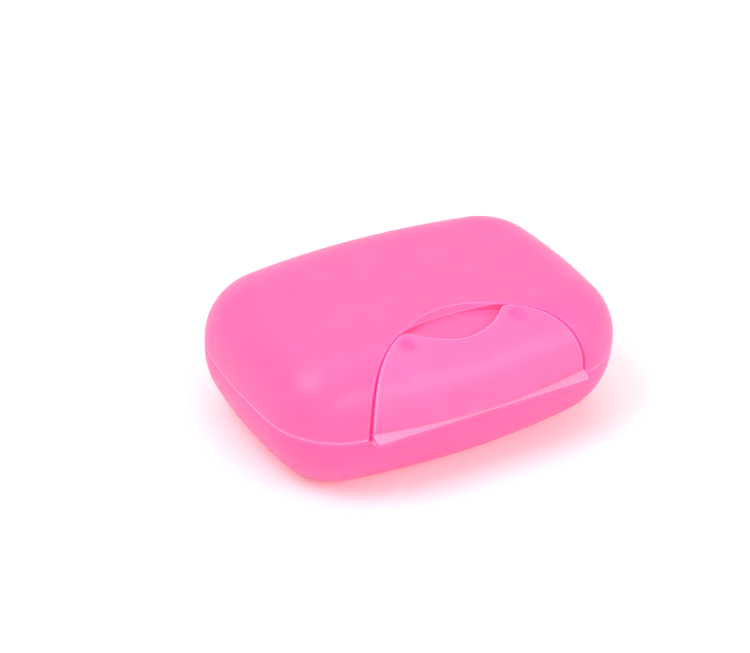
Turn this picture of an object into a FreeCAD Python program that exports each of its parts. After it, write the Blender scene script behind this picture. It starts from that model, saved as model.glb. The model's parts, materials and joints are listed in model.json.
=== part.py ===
import FreeCAD, Part
import math
import os

from FreeCAD import Vector

# Travel soap box, in millimetres. X runs along the box, -Y is the latch side, Z is up from the table.

# Overall form of the closed box
LENGTH = 115.0
WIDTH = 80.8
BASE_HEIGHT = 22.4
LID_HEIGHT = 20.1
SIDE_BOW = 224.0
END_BOW = 165.0
FLOOR_CORNER = 2.4
WALL = 1.8

# Profile of the base and of the lid, from the parting line outwards
BASE_RIM = 0.5
BASE_ROUND = 18.0
BASE_SIDE_TURN = 40.0
LID_RIM = 2.1
RIM_EDGE = 0.35
PARTING_GAP = 0.15

# Lip of the lid that hangs inside the rim of the base
LIP_DEPTH = 2.5
LIP_WALL = 1.0
LIP_GAP = 0.25
LIP_ROOT = 3.0

# Pocket of the lid that the latch flap lies in, seen from above, with a finger ramp at its crown
POCKET_REACH = 23.7
POCKET_CROWN = 38.0
POCKET_CROWN_TURN = 29.0
POCKET_FLANK = 53.0
POCKET_FLANK_END = 20.0
POCKET_DEPTH = 2.4
POCKET_LINING = 1.6
POCKET_EDGE = 0.35
RAMP_REACH = 25.4
RAMP_CROWN = 26.0
RAMP_DEPTH = 1.6
RAMP_OVERRUN = 0.25

# Latch flap with its finger scoop, the two snap bumps under its horns and the sink marks above them
FLAP_WALL = 1.9
FLAP_FLANK = 47.5
HORN_GAP = 0.35
FLAP_EDGE = 0.4
SCOOP_RADIUS = 20.5
SCOOP_BOTTOM = 11.7
HORN_RADIUS = 3.0
BUMP_RADIUS = 2.0
BUMP_HEIGHT = 0.8
BUMP_CLEARANCE = 0.3
BUMP_SPREAD = 18.0
BUMP_SETBACK = 14.4
SINK_RADIUS = 4.5
SINK_DEPTH = 0.65

# Straight hinge of the latch flap: land on the base, folded film, strip on the flap
STRIP_PROUD = 0.3
STRIP_FACE = 0.3
STRIP_RISE = 1.2
STRIP_RUN = 3.0
STRIP_END = 0.5
FILM_INNER = 0.08
FILM_WALL = 0.22
FILM_HEIGHT = 0.7
LAND_DROP = 0.35

# Knuckle hinge of the lid at the back
KNUCKLE_RADIUS = 2.2
KNUCKLE_GAP = 0.35
LID_KNUCKLE = 13.6
BASE_KNUCKLE = 9.0
KNUCKLE_END_GAP = 0.25
PIN_RADIUS = 1.0
PIN_RUNNING_GAP = 0.05
PIN_CHAMFER = 0.3

# Loose drain tray on the floor of the base
TRAY_PLATE = 1.6
TRAY_LEVEL = 6.5
TRAY_GAP = 0.8
TRAY_FOOT_RADIUS = 2.5
TRAY_FOOT_SPACING = (32.0, 15.0)
SLOT_WIDTH = 3.0
SLOT_LENGTH = 58.0
SLOT_PITCH = 9.0
SLOT_COUNT = 5
RIB_WIDTH = 1.6
RIB_HEIGHT = 1.5

# Sizes worked out from the driving ones
UP = Vector(0, 0, 1)
ALONG = Vector(1, 0, 0)
PARTING = BASE_HEIGHT
SPRING = PARTING + LID_RIM
LID_ROUND = LID_HEIGHT - LID_RIM
TOP = PARTING + LID_HEIGHT
LID_LOW = PARTING + PARTING_GAP
SIDE_TURN = math.radians(BASE_SIDE_TURN)
SIDE_SHIFT = (BASE_HEIGHT - BASE_RIM - BASE_ROUND) / math.sin(SIDE_TURN)
BASE_SIDE = BASE_ROUND + SIDE_SHIFT
BASE_INSET = BASE_SIDE - SIDE_SHIFT * math.cos(SIDE_TURN)
CORNER = max(BASE_INSET, LID_ROUND) + FLOOR_CORNER
FRONT = -WIDTH / 2
BACK = WIDTH / 2
OVERCUT = 5.0
SKIN_SAMPLE = 0.5
SKIN_TOLERANCE = 0.001
CROWN_START = 90 - POCKET_CROWN_TURN
BUMP_RISE = BUMP_RADIUS - BUMP_HEIGHT - FLAP_WALL
HINGE_Y = FRONT - STRIP_PROUD
HINGE_Z = PARTING + FILM_HEIGHT
AXLE_Y = BACK + KNUCKLE_RADIUS + KNUCKLE_GAP
AXLE_Z = PARTING


def polar(centre, radius, degrees):
    """Point on a plan circle, the angle counted from +X."""
    turn = math.radians(degrees)
    return centre + Vector(radius * math.cos(turn), radius * math.sin(turn), 0)


def plan_arc(centre, radius, start, stop):
    """Edge of a plan circle between two angles."""
    ends = [polar(centre, radius, angle) for angle in (start, (start + stop) / 2, stop)]
    return Part.Arc(*ends).toShape()


def angle_to(origin, point):
    """Plan angle of the line from one point to another, in degrees."""
    return math.degrees(math.atan2(point.y - origin.y, point.x - origin.x))


def outline_arcs():
    """The eight tangent arcs of the plan outline, as centre, radius, first and last angle."""
    front = Vector(0, FRONT + SIDE_BOW, 0)
    right = Vector(LENGTH / 2 - END_BOW, 0, 0)
    span = right - front
    reach = SIDE_BOW - CORNER
    along = (reach ** 2 - (END_BOW - CORNER) ** 2 + span.Length ** 2) / (2 * span.Length)
    unit = span / span.Length
    aside = Vector(-unit.y, unit.x, 0) * math.sqrt(reach ** 2 - along ** 2)
    corner = front + unit * along + aside
    steep = angle_to(front, corner)
    flat = angle_to(right, corner)
    quarters = (
        (right, END_BOW, flat, -flat),
        (Vector(corner.x, -corner.y, 0), CORNER, -flat, -steep),
        (-front, SIDE_BOW, -steep, 180 + steep),
        (-corner, CORNER, 180 + steep, 180 + flat),
        (-right, END_BOW, 180 + flat, 180 - flat),
        (Vector(-corner.x, corner.y, 0), CORNER, 180 - flat, 180 - steep),
        (front, SIDE_BOW, 180 - steep, 360 + steep),
        (corner, CORNER, 360 + steep, 360 + flat),
    )
    return quarters


ARCS = outline_arcs()


def slab(inset, low, high):
    """Upright solid of the outline drawn in by an inset."""
    edges = [plan_arc(centre, radius - inset, start, stop) for centre, radius, start, stop in ARCS]
    face = Part.Face(Part.Wire(edges))
    face.translate(UP * low)
    return face.extrude(UP * (high - low))


def section_face(moves, radius):
    """Ring section on the XZ plane. A move of two values is a line to that inset and height,
    a move of four values is an arc through its first point to its second."""
    def place(inset, height):
        return Vector(radius - inset, 0, height)

    edges = []
    last = place(*moves[0])
    for move in moves[1:] + [moves[0][:2]]:
        end = place(*move[-2:])
        if len(move) == 4:
            edges.append(Part.Arc(last, place(*move[:2]), end).toShape())
        else:
            edges.append(Part.makeLine(last, end))
        last = end
    return Part.Face(Part.Wire(edges))


def ring(moves):
    """Solid that carries one section all the way round the outline."""
    sectors = []
    for centre, radius, start, stop in ARCS:
        face = section_face(moves, radius)
        face.rotate(Vector(), UP, start)
        face.translate(centre)
        sectors.append(face.revolve(centre, UP, stop - start))
    return sectors[0].fuse(sectors[1:])


def bend(centre, radius, start, stop):
    """Arc move in a section: its middle and its end, angles from the outward direction upwards."""
    points = []
    for degrees in ((start + stop) / 2, stop):
        turn = math.radians(degrees)
        points += [centre[0] - radius * math.cos(turn), centre[1] + radius * math.sin(turn)]
    return tuple(points)


def lid_form(depth, low, edge=0.0):
    """Solid lid shape at a depth under the outer skin, cut off level below."""
    moves = [(depth + edge, low)]
    if edge:
        moves.append(bend((depth + edge, low + edge), edge, -90, 0))
    moves.append((depth, SPRING))
    moves.append(bend((LID_ROUND, SPRING), LID_ROUND - depth, 0, 90))
    moves.append((LID_ROUND, low))
    return ring(moves).fuse(slab(LID_ROUND, low, TOP - depth)).removeSplitter()


def base_form(depth, high, edge=0.0):
    """Solid base shape at a depth under the outer skin, cut off level above."""
    moves = [(depth + edge, high)]
    if edge:
        moves.append(bend((depth + edge, high - edge), edge, 90, 0))
    shoulder = PARTING - BASE_RIM
    moves.append((depth, shoulder))
    moves.append(bend((BASE_SIDE, shoulder), BASE_SIDE - depth, 0, -BASE_SIDE_TURN))
    moves.append(bend((BASE_INSET, BASE_ROUND), BASE_ROUND - depth, -BASE_SIDE_TURN, -90))
    moves.append((BASE_INSET, high))
    return ring(moves).fuse(slab(BASE_INSET, depth, high)).removeSplitter()


def crown_centre(reach, radius):
    """Middle of a crown arc that reaches so far back from the front."""
    return Vector(0, FRONT + reach - radius, 0)


def flank_centre(crown, flank):
    """Middle of the right flank arc that runs on from a crown arc."""
    return polar(crown_centre(POCKET_REACH, POCKET_CROWN), crown - flank, CROWN_START)


def foot_length():
    """Width of the flap at its foot, which the straight hinge spans."""
    centre = flank_centre(FLAP_CROWN, FLAP_FLANK)
    fall = HINGE_Y + STRIP_RUN - centre.y
    return 2 * (centre.x + math.sqrt(FLAP_FLANK ** 2 - fall ** 2))


FLAP_CROWN = POCKET_CROWN - HORN_GAP
STRIP_LENGTH = foot_length()


def latch_face(crown, flank):
    """Plan outline of the pocket or the flap: a crown arc with a flank arc on each side."""
    centre = flank_centre(crown, flank)
    mirrored = Vector(-centre.x, centre.y, 0)
    right = plan_arc(centre, flank, POCKET_FLANK_END, CROWN_START)
    middle = plan_arc(crown_centre(POCKET_REACH, POCKET_CROWN), crown, CROWN_START, 180 - CROWN_START)
    left = plan_arc(mirrored, flank, 180 - CROWN_START, 180 - POCKET_FLANK_END)
    mouth = Part.makeLine(left.Vertexes[-1].Point, right.Vertexes[0].Point)
    return Part.Face(Part.Wire([right, middle, left, mouth]))


def finger_ramp():
    """Slope from the lid's top down to the wall of the pocket, a crescent that runs out along its crown."""
    run = RAMP_REACH - POCKET_REACH
    low = RAMP_CROWN - run * (1 + RAMP_OVERRUN)
    high = RAMP_CROWN + run * RAMP_OVERRUN
    foot = crown_centre(RAMP_REACH, RAMP_CROWN) + UP * (TOP - RAMP_DEPTH * (1 + RAMP_OVERRUN))
    return Part.makeCone(low, high, RAMP_DEPTH * (1 + 2 * RAMP_OVERRUN), foot, UP)


def upright(face, low, high):
    """Plan face made into an upright solid between two heights."""
    lifted = face.copy()
    lifted.translate(UP * low)
    return lifted.extrude(UP * (high - low))


def cylinder_along(radius, start, length, y, z):
    """Round bar along X."""
    return Part.makeCylinder(radius, length, Vector(start, y, z), ALONG)


def horn_balls(radius, rise):
    """Pair of balls by the horns of the flap, their middles a rise above the lid's outer skin."""
    bow = SIDE_BOW - math.sqrt(SIDE_BOW ** 2 - BUMP_SPREAD ** 2)
    forward = (LID_ROUND - BUMP_SETBACK + bow) / LID_ROUND
    upward = math.sqrt(1 - forward ** 2)
    reach = LID_ROUND + rise
    y = FRONT + bow + LID_ROUND - reach * forward
    balls = [Part.makeSphere(radius, Vector(x, y, SPRING + reach * upward)) for x in (-BUMP_SPREAD, BUMP_SPREAD)]
    return balls[0].fuse(balls[1])


def web(start, length, low, high):
    """Block that joins a knuckle to the back wall."""
    depth = AXLE_Y - BACK + WALL / 2
    return Part.makeBox(length, depth, high - low, Vector(start, BACK - WALL / 2, low))


LID_SKIN = lid_form(0, 0).Shells[0]


def on_skin(face):
    """True where a face lies in the outer skin of the lid."""
    points = face.tessellate(SKIN_SAMPLE)[0]
    return all(LID_SKIN.distToShape(Part.Vertex(point))[0] < SKIN_TOLERANCE for point in points)


def skin_edges(shape, low):
    """Edges around the latch, above a height, where the outer skin breaks off to a side wall."""
    edges = []
    for edge in shape.Edges:
        middle = edge.CenterOfMass
        if middle.z > low and middle.y < FRONT + POCKET_REACH:
            sides = [on_skin(face) for face in shape.ancestorsOfType(edge, Part.Face)]
            if sides.count(True) == 1:
                edges.append(edge)
    return edges


def base_shell():
    """Lower shell with the straight land of the latch hinge and the two outer knuckles of the lid hinge."""
    inside = base_form(WALL, PARTING + OVERCUT)
    shell = base_form(0, PARTING, RIM_EDGE).cut(inside)
    land_top = HINGE_Z - FILM_INNER
    land_low = PARTING - LAND_DROP
    land = Part.makeBox(STRIP_LENGTH, STRIP_RUN + STRIP_PROUD + WALL, land_top - land_low,
                        Vector(-STRIP_LENGTH / 2, HINGE_Y, land_low))
    land = round_ends(land).common(upright(latch_face(FLAP_CROWN, FLAP_FLANK), 0, TOP)).cut(slab(WALL, 0, TOP))
    shell = shell.fuse(land)
    inner = LID_KNUCKLE / 2 + KNUCKLE_END_GAP
    for start in (inner, -inner - BASE_KNUCKLE):
        knuckle = cylinder_along(KNUCKLE_RADIUS, start, BASE_KNUCKLE, AXLE_Y, AXLE_Z)
        arm = web(start, BASE_KNUCKLE, AXLE_Z - KNUCKLE_RADIUS, AXLE_Z).cut(inside)
        bore = cylinder_along(PIN_RADIUS, start, BASE_KNUCKLE, AXLE_Y, AXLE_Z)
        shell = shell.fuse(knuckle.fuse(arm).cut(bore))
    return shell.removeSplitter()


def lid_shell():
    """Upper shell with the latch pocket and its finger ramp, an inner lip and the middle knuckle."""
    skin = lid_form(0, LID_LOW, RIM_EDGE)
    lining = upright(latch_face(POCKET_CROWN + POCKET_LINING, POCKET_FLANK + POCKET_LINING), 0, TOP + OVERCUT)
    hollow = lid_form(WALL, 0).cut(lining).fuse(lid_form(POCKET_DEPTH + POCKET_LINING, 0))
    lip_out = WALL + LIP_GAP
    lip_in = lip_out + LIP_WALL
    lip = ring([(lip_out, PARTING - LIP_DEPTH), (lip_out, LID_LOW), (WALL / 2, LID_LOW),
                (WALL / 2, LID_LOW + LIP_ROOT), (lip_in, LID_LOW + LIP_ROOT), (lip_in, PARTING - LIP_DEPTH)])
    pocket = upright(latch_face(POCKET_CROWN, POCKET_FLANK), PARTING, TOP + OVERCUT)
    pocket = pocket.cut(lid_form(POCKET_DEPTH, 0))
    dimples = horn_balls(BUMP_RADIUS + BUMP_CLEARANCE, BUMP_RISE)
    knuckle = cylinder_along(KNUCKLE_RADIUS, -LID_KNUCKLE / 2, LID_KNUCKLE, AXLE_Y, AXLE_Z)
    arm = web(-LID_KNUCKLE / 2, LID_KNUCKLE, LID_LOW, AXLE_Z + KNUCKLE_RADIUS)
    bore = cylinder_along(PIN_RADIUS + PIN_RUNNING_GAP, -LID_KNUCKLE / 2, LID_KNUCKLE, AXLE_Y, AXLE_Z)
    shell = skin.cut(hollow).fuse(lip).cut(pocket).removeSplitter()
    shell = shell.makeFillet(POCKET_EDGE, skin_edges(shell, LID_LOW + RIM_EDGE))
    shell = shell.cut(finger_ramp()).cut(dimples)
    return shell.fuse(knuckle.fuse(arm).cut(bore)).removeSplitter()


def round_ends(bar):
    """Straight hinge bar with its two front upright edges rounded."""
    edges = [edge for edge in bar.Edges
             if abs(edge.CenterOfMass.y - HINGE_Y) < STRIP_END and edge.BoundBox.XLength < STRIP_END
             and abs(abs(edge.CenterOfMass.x) - STRIP_LENGTH / 2) < STRIP_END
             and edge.BoundBox.YLength < STRIP_END]
    return bar.makeFillet(STRIP_END, edges)


def flap_blank():
    """Upright solid of the flap's plan, with the scoop between two horns."""
    high = TOP + OVERCUT
    blank = upright(latch_face(FLAP_CROWN, FLAP_FLANK), PARTING, high)
    middle = Vector(0, FRONT + SCOOP_BOTTOM + SCOOP_RADIUS, PARTING)
    blank = blank.cut(Part.makeCylinder(SCOOP_RADIUS, high - PARTING, middle))
    corners = [edge for edge in blank.Edges
               if edge.BoundBox.ZLength > LID_HEIGHT and edge.CenterOfMass.y > FRONT + SCOOP_BOTTOM
               and abs(edge.CenterOfMass.x) < BUMP_SPREAD]
    return blank.makeFillet(HORN_RADIUS, corners)


def latch_flap():
    """Curved flap, flush with the lid, from just above the hinge strip to its two horns."""
    low = HINGE_Z + FILM_INNER
    shell = lid_form(0, PARTING).cut(lid_form(FLAP_WALL, 0))
    flap = shell.common(flap_blank()).removeSplitter()
    flap = flap.makeFillet(FLAP_EDGE, skin_edges(flap, PARTING + FLAP_EDGE))
    flap = flap.cut(slab(-OVERCUT, 0, low))
    bumps = horn_balls(BUMP_RADIUS, BUMP_RISE).common(lid_form(FLAP_WALL / 2, PARTING))
    sinks = horn_balls(SINK_RADIUS, SINK_RADIUS - SINK_DEPTH)
    flap = flap.fuse(bumps).removeSplitter()
    return flap.cut(sinks).cut(strip_blank())


def strip_blank():
    """Wedge bar of the hinge strip before its back is cut to the flap's inner face."""
    low = HINGE_Z + FILM_INNER
    face = low + STRIP_FACE
    points = [Vector(0, HINGE_Y, low), Vector(0, HINGE_Y, face),
              Vector(0, HINGE_Y + STRIP_RUN, face + STRIP_RISE),
              Vector(0, HINGE_Y + STRIP_RUN + STRIP_PROUD, low)]
    wedge = Part.Face(Part.makePolygon(points + points[:1])).extrude(ALONG * STRIP_LENGTH)
    wedge.translate(ALONG * (-STRIP_LENGTH / 2))
    return wedge


def hinge_strip():
    """Straight wedge strip that the flap turns on, wider towards its ends as the front wall bows away."""
    return round_ends(strip_blank()).cut(lid_form(FLAP_WALL, 0))


def hinge_film():
    """Thin film folded round the hinge line, from the land on the base to the strip."""
    outer = cylinder_along(FILM_INNER + FILM_WALL, -STRIP_LENGTH / 2 + STRIP_END,
                           STRIP_LENGTH - 2 * STRIP_END, HINGE_Y, HINGE_Z)
    inner = cylinder_along(FILM_INNER, -STRIP_LENGTH / 2, STRIP_LENGTH, HINGE_Y, HINGE_Z)
    behind = Part.makeBox(STRIP_LENGTH, OVERCUT, OVERCUT,
                          Vector(-STRIP_LENGTH / 2, HINGE_Y, HINGE_Z - OVERCUT / 2))
    return outer.cut(inner).cut(behind)


def hinge_pin():
    """Straight pin through the three knuckles of the lid hinge."""
    half = LID_KNUCKLE / 2 + KNUCKLE_END_GAP + BASE_KNUCKLE
    pin = cylinder_along(PIN_RADIUS, -half, 2 * half, AXLE_Y, AXLE_Z)
    return pin.makeChamfer(PIN_CHAMFER, [edge for edge in pin.Edges if edge.BoundBox.XLength < PIN_CHAMFER])


def drain_tray():
    """Slotted plate on six feet, with ribs that hold the soap off the plate."""
    fall = BASE_ROUND - TRAY_LEVEL
    inner = BASE_INSET - math.sqrt((BASE_ROUND - WALL) ** 2 - fall ** 2)
    top = TRAY_LEVEL + TRAY_PLATE
    tray = slab(inner + TRAY_GAP, TRAY_LEVEL, top)
    for row in range(SLOT_COUNT):
        y = (row - (SLOT_COUNT - 1) / 2) * SLOT_PITCH
        slot = Part.makeBox(SLOT_LENGTH, SLOT_WIDTH, TRAY_PLATE, Vector(-SLOT_LENGTH / 2, y - SLOT_WIDTH / 2, TRAY_LEVEL))
        ends = [edge for edge in slot.Edges if edge.BoundBox.ZLength > TRAY_PLATE / 2]
        tray = tray.cut(slot.makeFillet(SLOT_WIDTH / 2 - RIM_EDGE, ends))
    for row in range(SLOT_COUNT - 1):
        y = (row - (SLOT_COUNT - 2) / 2) * SLOT_PITCH
        rib = Part.makeBox(SLOT_LENGTH, RIB_WIDTH, RIB_HEIGHT, Vector(-SLOT_LENGTH / 2, y - RIB_WIDTH / 2, top))
        tray = tray.fuse(rib)
    spread, aside = TRAY_FOOT_SPACING
    for x in (-spread, 0, spread):
        for y in (-aside, aside):
            foot = Part.makeCylinder(TRAY_FOOT_RADIUS, TRAY_LEVEL - WALL, Vector(x, y, WALL))
            tray = tray.fuse(foot)
    return tray.removeSplitter()


NODES = {
    "base_shell": base_shell,
    "lid_shell": lid_shell,
    "latch_flap": latch_flap,
    "latch_hinge_strip": hinge_strip,
    "latch_hinge_film": hinge_film,
    "lid_hinge_pin": hinge_pin,
    "drain_tray": drain_tray,
}

os.makedirs("parts", exist_ok=True)
for name, make in NODES.items():
    shape = make()
    shape.exportStep("parts/" + name + ".step")
    print(name, "solids", len(shape.Solids), "valid", shape.isValid(), "volume", round(shape.Volume, 1))
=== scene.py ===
import json
import math

import bpy
from mathutils import Matrix, Vector


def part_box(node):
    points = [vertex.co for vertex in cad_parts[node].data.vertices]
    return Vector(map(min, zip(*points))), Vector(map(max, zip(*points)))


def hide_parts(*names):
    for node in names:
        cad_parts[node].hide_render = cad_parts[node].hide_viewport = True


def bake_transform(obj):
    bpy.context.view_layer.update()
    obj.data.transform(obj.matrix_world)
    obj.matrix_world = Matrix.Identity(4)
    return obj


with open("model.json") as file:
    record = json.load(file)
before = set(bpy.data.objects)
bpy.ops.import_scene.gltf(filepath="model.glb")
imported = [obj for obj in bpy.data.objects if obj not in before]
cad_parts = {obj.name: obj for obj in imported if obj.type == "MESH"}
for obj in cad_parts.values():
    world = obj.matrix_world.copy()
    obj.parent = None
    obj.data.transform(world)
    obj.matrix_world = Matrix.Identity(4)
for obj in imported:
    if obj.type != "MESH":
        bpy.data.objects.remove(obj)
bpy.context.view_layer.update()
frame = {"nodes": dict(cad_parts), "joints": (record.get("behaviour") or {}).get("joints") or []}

MM = 0.001

# Camera of the photograph, fitted to the outline of the box, for a picture of 750 by 653
PICTURE_WIDTH = 750
FOCAL_PIXELS = 1948.24
SENSOR_WIDTH = 36.0
CAMERA_AZIMUTH = math.radians(-32.7447)
CAMERA_ELEVATION = math.radians(33.3414)
CAMERA_ROLL = math.radians(3.6567)
CAMERA_DISTANCE = 0.57097
CAMERA_TARGET = Vector((-0.007554, 0.007651, 0.024831))
CAMERA_NEAR = 0.01

# Colours of the pieces, linear
SHELL_PINK = (0.98, 0.122, 0.355)
# Deeper pink of the base below the rim: painted shade, as the base gets less light than the lid
BASE_SHADED_PINK = (0.98, 0.108, 0.34)
# Paler pink of the flap: painted sheen on the same plastic as the shell
FLAP_SHEEN_PINK = (0.98, 0.15, 0.395)
# Lighter pink of the strip's upward face: painted light from above
STRIP_LIT_PINK = (0.98, 0.25, 0.45)
TRAY_PINK = (0.98, 0.22, 0.50)
STEEL_GREY = (0.62, 0.62, 0.64)

# Colours painted on the plastic: a highlight on edges, shade in the sink marks, and a glow in gaps that
# stands in for light through the plastic
EDGE_HIGHLIGHT_PINK = (0.98, 0.44, 0.70)
SINK_SHADOW_PINK = (0.98, 0.10, 0.36)
GAP_GLOW_PINK = (0.30, 0.03, 0.15)
NO_GLOW = (0.0, 0.0, 0.0)

# Moulded plastic: mean roughness, depth of colour, and what is the same on every piece
SATIN_ROUGHNESS = 0.36
STRIP_ROUGHNESS = 0.45
SOLID_DEPTH = 0.9
STRIP_DEPTH = 0.05
PLASTIC_SOCKETS = {
    "Emission Strength": 1.0,
    "IOR": 1.49,
    "Specular IOR Level": 0.35,
    "Subsurface Radius": (1.0, 0.3, 0.5),
    "Subsurface Scale": 5.0 * MM,
}

# Moulded plastic: fine texture
MOTTLE = {"size": 14.0 * MM, "detail": 3.0}
MOTTLE_SHADES = (0.97, 1.03)
SCUFFS = {"size": 1.6 * MM, "detail": 4.0, "stretch": (0.5, 1.0, 1.0)}
SCUFF_DULLING = (-0.02, 0.03)
GRAIN = {"size": 0.35 * MM, "detail": 3.0}
GRAIN_DEPTH = 0.012 * MM
SWELL = {"size": 9.0 * MM, "detail": 1.0}
SWELL_DEPTH = 0.02 * MM

# Moulded plastic: radius of the softened edges
SHELL_EDGE = 0.65 * MM
FLAP_EDGE = 1.3 * MM
STRIP_EDGE = 0.2 * MM

# How far a gap is felt, and the openness at which edges take a painted highlight and a painted glow comes
# into gaps
GAP_REACH = 1.4 * MM
HIGHLIGHT_OPENNESS = (0.45, 0.75)
GLOW_OPENNESS = (0.80, 0.10)

# Cosine of the turn of a softened normal: where it counts as an edge, and where it is still sound
EDGE_TURN = (0.995, 0.85)
SOUND_TURN = (0.35, 0.60)

# Places on the box: the lid's rim with its painted highlight, the land of the base under the strip, the
# flap's sink marks
RIM_BAND = (22.5 * MM, 23.9 * MM)
RIM_HIGHLIGHT_SHARE = 0.6
RIM_MARGIN = 0.1 * MM
# Band below the lid's rim where the base's painted shade comes in
BASE_SHADE_FADE = (RIM_BAND[0], RIM_BAND[0] - 2 * RIM_MARGIN)
LAND_BAND = (-40.3 * MM, -38.8 * MM)
SINK_PLACE = (18.0 * MM, -26.0 * MM)
SINK_SHADE = (4.2 * MM, 1.0 * MM)
SINK_CALM = (2.6 * MM, 3.6 * MM)
# Slope of the strip's normal over which its painted light from above comes in
STRIP_LIT_UPWARD = (0.3, 0.75)

# Drawn wire of the pin
STREAKS = {"size": 0.12 * MM, "detail": 3.0, "stretch": (0.05, 1.0, 1.0)}
STREAK_SHADE = 0.85
STREAK_ROUGHNESS = (0.22, 0.38)
STREAK_DEPTH = 0.004 * MM

# Folded film of the latch hinge: hollow of the fold, and facets round the fold and along it
FILM_HOLLOW = 0.08 * MM
FILM_AROUND = 12
FILM_ALONG = 48

# Shader sampling: usual spread of a noise value, and rays for gaps and edges
NOISE_SPREAD = (0.3, 0.7)
GAP_RAYS = 8
EDGE_RAYS = 6

# Floor: whitish paper with a painted pink glow near the box, seen as white further out
FLOOR_SIZE = 6.0
FLOOR_WHITE = (0.86, 0.86, 0.86)
FLOOR_ROUGHNESS = 0.9
FLOOR_SPECULAR = 0.1
FLOOR_GLOW = (0.04, 0.04, 0.04)
FLOOR_PAINTED_GLOW = (0.16, 0.03, 0.035)
FLOOR_REACH = 22.0 * MM
FLOOR_FADE = (0.14, 0.45)
FLOOR_FAR = (0.55, 0.55, 0.55)

# Lights: strength of the even world, and place, size and power of each soft box aimed at the box
WORLD_STRENGTH = 0.53
LIGHT_AIM = Vector((0.0, 0.0, 0.02))
LIGHTS = {
    "front_softbox": {"place": (0.10, -0.68, 0.48), "size": (1.5, 0.30), "power": 5.0},
    "key_softbox": {"place": (-0.50, -0.01, 0.66), "size": (0.38, 0.38), "power": 3.0},
    "top_softbox": {"place": (0.0, 0.15, 0.90), "size": (0.9, 0.9), "power": 2.9},
}


class Nodes:
    """Short hand for adding nodes to one shader tree."""

    def __init__(self, tree):
        self.tree = tree
        tree.nodes.clear()

    def add(self, kind, **settings):
        node = self.tree.nodes.new(kind)
        for key, value in settings.items():
            setattr(node, key, value)
        return node

    def link(self, source, target):
        self.tree.links.new(source, target)

    def combine(self, operation, first, second=0.0):
        """One or two values, given or linked, put through a sum, product or the like."""
        node = self.add("ShaderNodeMath", operation=operation)
        for socket, value in zip(node.inputs, (first, second)):
            if isinstance(value, float):
                socket.default_value = value
            else:
                self.link(value, socket)
        return node.outputs["Value"]

    def background_rays(self):
        """One for the rays that show a background: straight, mirrored or through glass."""
        path = self.add("ShaderNodeLightPath").outputs
        seen = self.combine("MAXIMUM", path["Is Camera Ray"], path["Is Glossy Ray"])
        return self.combine("MAXIMUM", seen, path["Is Transmission Ray"])


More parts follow.
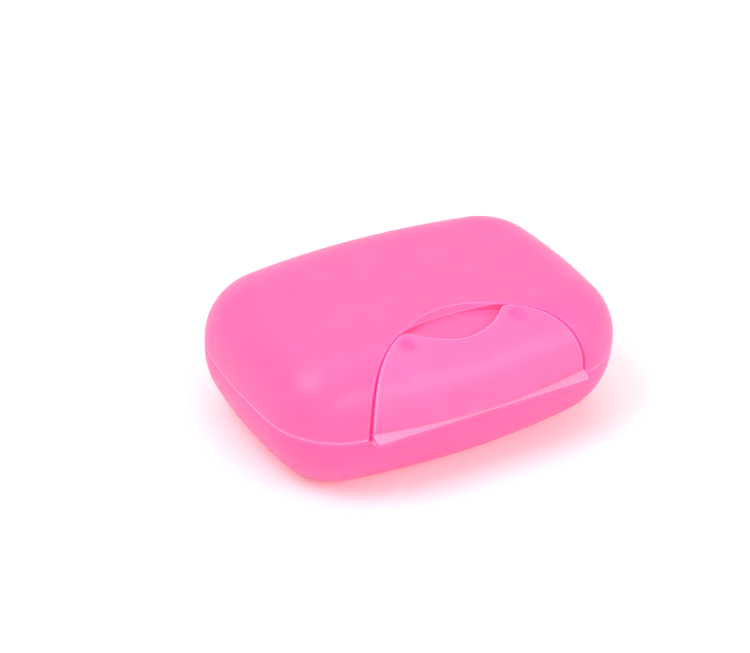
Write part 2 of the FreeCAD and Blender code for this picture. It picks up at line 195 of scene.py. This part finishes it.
class Surface(Nodes):
    """Nodes of a new material with one shader. Lengths are in metres."""

    def __init__(self, name):
        self.material = bpy.data.materials.new(name)
        self.material.use_nodes = True
        super().__init__(self.material.node_tree)
        self.shader = self.add("ShaderNodeBsdfPrincipled")
        output = self.add("ShaderNodeOutputMaterial")
        self.link(self.shader.outputs["BSDF"], output.inputs["Surface"])
        places = self.add("ShaderNodeTexCoord").outputs
        self.place = places["Object"]
        self.facing = places["Normal"]

    def set(self, socket, value):
        """A value that is the same all over, on the shader's own socket."""
        self.shader.inputs[socket].default_value = value

    def feed(self, socket, value):
        """A value that varies over the surface."""
        self.link(value, self.shader.inputs[socket])

    def noise(self, size, detail, stretch=(1.0, 1.0, 1.0)):
        """Noise whose features are about `size` across."""
        mapping = self.add("ShaderNodeMapping")
        mapping.inputs["Scale"].default_value = stretch
        self.link(self.place, mapping.inputs["Vector"])
        noise = self.add("ShaderNodeTexNoise")
        noise.inputs["Scale"].default_value = 1 / size
        noise.inputs["Detail"].default_value = detail
        self.link(mapping.outputs["Vector"], noise.inputs["Vector"])
        return noise.outputs["Fac"]

    def spread(self, value, low, high):
        """A noise value spread between two limits."""
        node = self.add("ShaderNodeMapRange")
        ends = {"From Min": NOISE_SPREAD[0], "From Max": NOISE_SPREAD[1], "To Min": low, "To Max": high}
        for socket, end in ends.items():
            node.inputs[socket].default_value = end
        self.link(value, node.inputs["Value"])
        return node.outputs["Result"]

    def ramp(self, value, band):
        """Nought at the first end of a band and one at the second, with a soft start and end."""
        node = self.add("ShaderNodeMapRange", interpolation_type="SMOOTHSTEP")
        node.inputs["From Min"].default_value = band[0]
        node.inputs["From Max"].default_value = band[1]
        self.link(value, node.inputs["Value"])
        return node.outputs["Result"]

    def mix(self, share, first, second):
        """The first colour or vector where the share is nought, the second where it is one."""
        node = self.add("ShaderNodeMix", data_type="RGBA")
        self.link(share, node.inputs["Factor"])
        for name, colour in (("A_Color", first), ("B_Color", second)):
            socket = next(item for item in node.inputs if item.identifier == name)
            if isinstance(colour, tuple):
                socket.default_value = (*colour, 1)
            else:
                self.link(colour, socket)
        return next(item for item in node.outputs if item.identifier == "Result_Color")

    def bump(self, height, depth, normal=None):
        """Relief of a height value on a normal."""
        node = self.add("ShaderNodeBump")
        node.inputs["Distance"].default_value = depth
        self.link(height, node.inputs["Height"])
        if normal:
            self.link(normal, node.inputs["Normal"])
        return node.outputs["Normal"]

    def parts_of(self, vector):
        """The three parts of a vector."""
        split = self.add("ShaderNodeSeparateXYZ")
        self.link(vector, split.inputs["Vector"])
        return split.outputs["X"], split.outputs["Y"], split.outputs["Z"]

    def openness(self, reach):
        """One on open faces, falling in corners and gaps."""
        node = self.add("ShaderNodeAmbientOcclusion", samples=GAP_RAYS)
        node.inputs["Distance"].default_value = reach
        return node.outputs["AO"]

    def softened(self, radius):
        """Normal that rounds sharp edges off, and one where it does so."""
        bevel = self.add("ShaderNodeBevel", samples=EDGE_RAYS)
        bevel.inputs["Radius"].default_value = radius
        plain = self.add("ShaderNodeNewGeometry").outputs["Normal"]
        turn = self.add("ShaderNodeVectorMath", operation="DOT_PRODUCT")
        self.link(bevel.outputs["Normal"], turn.inputs[0])
        self.link(plain, turn.inputs[1])
        sound = self.ramp(turn.outputs["Value"], SOUND_TURN)
        normal = self.mix(sound, plain, bevel.outputs["Normal"])
        edges = self.combine("MULTIPLY", sound, self.ramp(turn.outputs["Value"], EDGE_TURN))
        return normal, edges


def scaled(colour, factor):
    return tuple(min(1.0, channel * factor) for channel in colour)


def moulded_plastic(name, colour, detail=None, roughness=SATIN_ROUGHNESS, depth=SOLID_DEPTH, edge=SHELL_EDGE):
    """Satin polypropylene: flow mottling, scuffs, spark grain, a painted highlight on edges and a painted
    glow in gaps that stands in for light through the plastic.

    `detail` takes the surface, its body colour and its painted highlight, and returns both with a piece's own
    marks, painted light and shade among them.
    """
    surface = Surface(name)
    mottle = surface.spread(surface.noise(**MOTTLE), 0.0, 1.0)
    body = surface.mix(mottle, *(scaled(colour, shade) for shade in MOTTLE_SHADES))
    openness = surface.openness(GAP_REACH)
    normal, edges = surface.softened(edge)
    # Painted highlight on open edges, standing in for light caught by their rounding
    highlight = surface.combine("MULTIPLY", edges, surface.ramp(openness, HIGHLIGHT_OPENNESS))
    if detail:
        body, highlight = detail(surface, body, highlight)
    surface.feed("Base Color", surface.mix(highlight, body, EDGE_HIGHLIGHT_PINK))

    scuffs = surface.noise(**SCUFFS)
    surface.feed("Roughness", surface.spread(scuffs, *(roughness + change for change in SCUFF_DULLING)))
    grain = surface.bump(surface.noise(**GRAIN), GRAIN_DEPTH, normal)
    surface.feed("Normal", surface.bump(surface.noise(**SWELL), SWELL_DEPTH, grain))
    # Painted glow in gaps and corners, standing in for light that comes through the thin plastic
    surface.feed("Emission Color", surface.mix(surface.ramp(openness, GLOW_OPENNESS), NO_GLOW, GAP_GLOW_PINK))
    surface.set("Subsurface Weight", depth)
    for socket, value in PLASTIC_SOCKETS.items():
        surface.set(socket, value)
    return surface.material


def shell_detail(surface, body, highlight):
    """Painted shade on the base, a painted highlight round the lid's rim, and no painted edge highlight on
    the land under the strip.
    """
    _, y, z = surface.parts_of(surface.place)
    # Painted shade: below the rim the base turns a deeper pink
    body = surface.mix(surface.ramp(z, BASE_SHADE_FADE), body, BASE_SHADED_PINK)
    # Painted highlight along the lid's lower rim
    on_lid = surface.combine("GREATER_THAN", z, RIM_BAND[0] - RIM_MARGIN)
    rim = surface.combine("MULTIPLY", surface.ramp(z, RIM_BAND[::-1]), on_lid)
    highlight = surface.combine("MAXIMUM", highlight, surface.combine("MULTIPLY", rim, RIM_HIGHLIGHT_SHARE))
    return body, surface.combine("MULTIPLY", highlight, surface.ramp(y, LAND_BAND))


def flap_detail(surface, body, highlight):
    """Soft painted shade at the two sink marks, with no painted edge highlight round them."""
    x, y, _ = surface.parts_of(surface.place)
    aside = surface.combine("SUBTRACT", surface.combine("ABSOLUTE", x), SINK_PLACE[0])
    along = surface.combine("SUBTRACT", y, SINK_PLACE[1])
    squares = [surface.combine("MULTIPLY", part, part) for part in (aside, along)]
    distance = surface.combine("SQRT", surface.combine("ADD", *squares))
    # Painted shade: deeper pink in the sink marks
    body = surface.mix(surface.ramp(distance, SINK_SHADE), body, SINK_SHADOW_PINK)
    return body, surface.combine("MULTIPLY", highlight, surface.ramp(distance, SINK_CALM))


def strip_detail(surface, body, highlight):
    """Painted light from above: the upward face is lighter, and elsewhere the strip is like the shell."""
    upward = surface.ramp(surface.parts_of(surface.facing)[2], STRIP_LIT_UPWARD)
    return surface.mix(upward, SHELL_PINK, body), surface.combine("MULTIPLY", highlight, upward)


def drawn_steel(name, colour):
    """Drawn wire: streaks along its length."""
    surface = Surface(name)
    streaks = surface.noise(**STREAKS)
    shade = surface.spread(streaks, 0.0, 1.0)
    surface.feed("Base Color", surface.mix(shade, scaled(colour, STREAK_SHADE), colour))
    surface.feed("Roughness", surface.spread(streaks, *STREAK_ROUGHNESS))
    surface.feed("Normal", surface.bump(streaks, STREAK_DEPTH))
    surface.set("Metallic", 1.0)
    return surface.material


def dress(node, material):
    """Give a CAD node its finish."""
    mesh = frame["nodes"][node].data
    mesh.materials.clear()
    mesh.materials.append(material)


def joint(name):
    """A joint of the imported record."""
    return next(item for item in frame["joints"] if item["name"] == name)


def add_object(name, data):
    """A new object in the scene."""
    item = bpy.data.objects.new(name, data)
    bpy.context.scene.collection.objects.link(item)
    return item


def half_ring(x, centre, radius):
    """Points of the front half of a circle round a line along X, from bottom to top."""
    turns = [math.pi * (spot / FILM_AROUND - 0.5) for spot in range(FILM_AROUND + 1)]
    return [(x, centre.y - radius * math.cos(turn), centre.z + radius * math.sin(turn)) for turn in turns]


def hinge_film(material):
    """Folded film between base and latch."""
    low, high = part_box("latch_hinge_film")
    fold = Vector(joint("latch_hinge")["pos_m"])
    outer = (high.z - low.z) / 2
    points = []
    for step in range(FILM_ALONG + 1):
        x = low.x + (high.x - low.x) * step / FILM_ALONG
        points += half_ring(x, fold, outer) + half_ring(x, fold, FILM_HOLLOW)[::-1]
    count = len(points) // (FILM_ALONG + 1)
    faces = [tuple(reversed(range(count))), tuple(range(FILM_ALONG * count, len(points)))]
    for start in range(0, FILM_ALONG * count, count):
        for spot in range(count):
            first = start + spot
            second = start + (spot + 1) % count
            faces.append((first, second, second + count, first + count))
    mesh = bpy.data.meshes.new("hinge_film")
    mesh.from_pydata(points, [], faces)
    mesh.update()
    mesh.materials.append(material)
    film = add_object("hinge_film", mesh)
    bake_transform(film)
    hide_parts("latch_hinge_film")


def make_world():
    """Even studio light, seen as white."""
    world = bpy.data.worlds.new("studio")
    bpy.context.scene.world = world
    world.use_nodes = True
    nodes = Nodes(world.node_tree)
    mix = nodes.add("ShaderNodeMixShader")
    nodes.link(nodes.background_rays(), mix.inputs["Fac"])
    for socket, strength in zip(mix.inputs[1:], (WORLD_STRENGTH, 1.0)):
        light = nodes.add("ShaderNodeBackground")
        light.inputs["Color"].default_value = (1, 1, 1, 1)
        light.inputs["Strength"].default_value = strength
        nodes.link(light.outputs["Background"], socket)
    output = nodes.add("ShaderNodeOutputWorld")
    nodes.link(mix.outputs["Shader"], output.inputs["Surface"])


def floor_paper():
    """Whitish matt paper that keeps the shadow, takes a painted pink glow near the box and turns white
    further out.
    """
    surface = Surface("floor_paper")
    surface.set("Base Color", (*FLOOR_WHITE, 1))
    surface.set("Roughness", FLOOR_ROUGHNESS)
    surface.set("Specular IOR Level", FLOOR_SPECULAR)
    surface.set("Emission Strength", 1.0)
    # Painted pink glow on the floor near the box, standing in for light through and off the box
    near = surface.ramp(surface.openness(FLOOR_REACH), (1.0, 0.0))
    glow = surface.mix(near, FLOOR_GLOW, FLOOR_PAINTED_GLOW)
    away = surface.add("ShaderNodeVectorMath", operation="LENGTH")
    surface.link(surface.place, away.inputs[0])
    far = surface.ramp(away.outputs["Value"], FLOOR_FADE)
    far = surface.combine("MULTIPLY", surface.background_rays(), far)
    surface.feed("Emission Color", surface.mix(far, glow, FLOOR_FAR))
    return surface.material


def make_floor():
    """Plain pale floor under the box."""
    half = FLOOR_SIZE / 2
    corners = [(-half, -half, 0), (half, -half, 0), (half, half, 0), (-half, half, 0)]
    mesh = bpy.data.meshes.new("floor")
    mesh.from_pydata(corners, [], [(0, 1, 2, 3)])
    mesh.materials.append(floor_paper())
    floor = add_object("floor", mesh)


def make_lights():
    """Large soft boxes around the table."""
    for name, light in LIGHTS.items():
        lamp = bpy.data.lights.new(name, "AREA")
        lamp.shape = "RECTANGLE"
        lamp.size, lamp.size_y = light["size"]
        lamp.energy = light["power"]
        item = add_object(name, lamp)
        item.location = light["place"]
        aim = LIGHT_AIM - item.location
        item.rotation_euler = aim.to_track_quat("-Z", "Y").to_euler()


def make_camera():
    """Camera of the photograph."""
    across = math.cos(CAMERA_ELEVATION)
    level = Vector((math.cos(CAMERA_AZIMUTH), math.sin(CAMERA_AZIMUTH), 0))
    back = Vector((level.y * across, -level.x * across, math.sin(CAMERA_ELEVATION)))
    upright = back.cross(level)
    right = level * math.cos(CAMERA_ROLL) + upright * math.sin(CAMERA_ROLL)
    up = upright * math.cos(CAMERA_ROLL) - level * math.sin(CAMERA_ROLL)
    lens = bpy.data.cameras.new("photo_camera")
    lens.sensor_fit = "HORIZONTAL"
    lens.sensor_width = SENSOR_WIDTH
    lens.lens = FOCAL_PIXELS / PICTURE_WIDTH * SENSOR_WIDTH
    lens.clip_start = CAMERA_NEAR
    camera = add_object("photo_camera", lens)
    turn = Matrix((right, up, back)).transposed().to_4x4()
    camera.matrix_world = Matrix.Translation(CAMERA_TARGET + back * CAMERA_DISTANCE) @ turn
    bpy.context.scene.camera = camera


shell_plastic = moulded_plastic("shell_plastic", SHELL_PINK, shell_detail)
flap_plastic = moulded_plastic("flap_plastic", FLAP_SHEEN_PINK, flap_detail, edge=FLAP_EDGE)
strip_plastic = moulded_plastic(
    "strip_plastic", STRIP_LIT_PINK, strip_detail, STRIP_ROUGHNESS, STRIP_DEPTH, STRIP_EDGE)
tray_plastic = moulded_plastic("tray_plastic", TRAY_PINK)
pin_steel = drawn_steel("pin_steel", STEEL_GREY)

dress("base_shell", shell_plastic)
dress("lid_shell", shell_plastic)
dress("latch_flap", flap_plastic)
dress("latch_hinge_strip", strip_plastic)
dress("drain_tray", tray_plastic)
dress("lid_hinge_pin", pin_steel)
hinge_film(strip_plastic)

make_floor()
make_lights()
make_world()
make_camera()
bpy.context.scene.view_settings.view_transform = "Standard"
